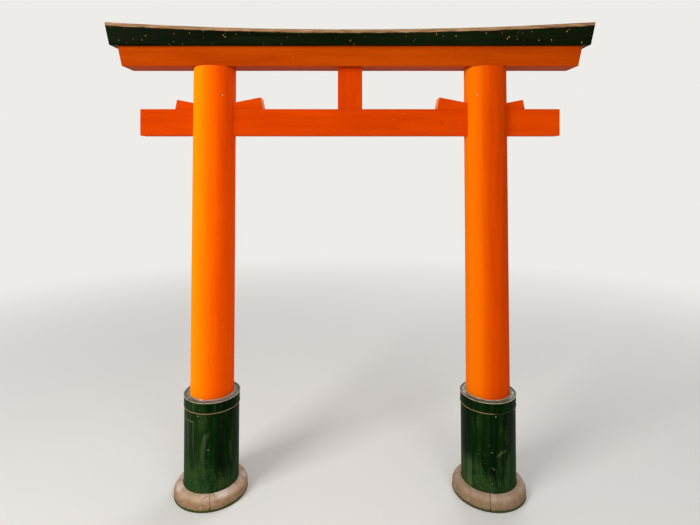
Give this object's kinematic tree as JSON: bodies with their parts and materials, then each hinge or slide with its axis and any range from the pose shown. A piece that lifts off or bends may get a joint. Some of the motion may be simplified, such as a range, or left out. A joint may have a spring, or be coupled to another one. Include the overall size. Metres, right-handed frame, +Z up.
{
  "type": "torii gate",
  "caption": "Timber shrine gate: leaning round posts in dark sleeves on stone rings, a wedged tie beam, a centre strut and a double lintel with an upswept black cap.",
  "frame": {"origin": "on the ground, midway between the two posts", "axes": "+X across the gate towards the right-hand post, +Y through the gate away from the viewer, +Z up"},
  "size_m": [3.3564, 0.502, 3.276],
  "materials": {
    "vermilion_wood": "smooth timber under glossy vermilion paint",
    "black_wood": "timber under black paint, green with moss on top",
    "sleeve_metal": "half-gloss green-black paint with streaks of algae",
    "band_metal": "half-gloss green-black paint, worn to metal along the hems",
    "mortar": "smoothed grey mortar, damp and slightly green",
    "foot_stone": "fine beige-pink granite, moss along the foot"
  },
  "bodies": {
    "root": {"tie_beam": "vermilion_wood", "centre_strut": "vermilion_wood", "lower_lintel": "vermilion_wood", "upper_lintel": "black_wood", "left_post": "vermilion_wood", "left_inner_wedge": "vermilion_wood", "left_outer_wedge": "vermilion_wood", "left_sleeve": "sleeve_metal", "left_sleeve_band": "band_metal", "left_sleeve_mortar": "mortar", "left_foot_stone_front_inner": "foot_stone", "left_foot_stone_front_outer": "foot_stone", "left_foot_stone_back_inner": "foot_stone", "left_foot_stone_back_outer": "foot_stone", "right_post": "vermilion_wood", "right_inner_wedge": "vermilion_wood", "right_outer_wedge": "vermilion_wood", "right_sleeve": "sleeve_metal", "right_sleeve_band": "band_metal", "right_sleeve_mortar": "mortar", "right_foot_stone_front_inner": "foot_stone", "right_foot_stone_front_outer": "foot_stone", "right_foot_stone_back_inner": "foot_stone", "right_foot_stone_back_outer": "foot_stone"}
  },
  "joints": []
}
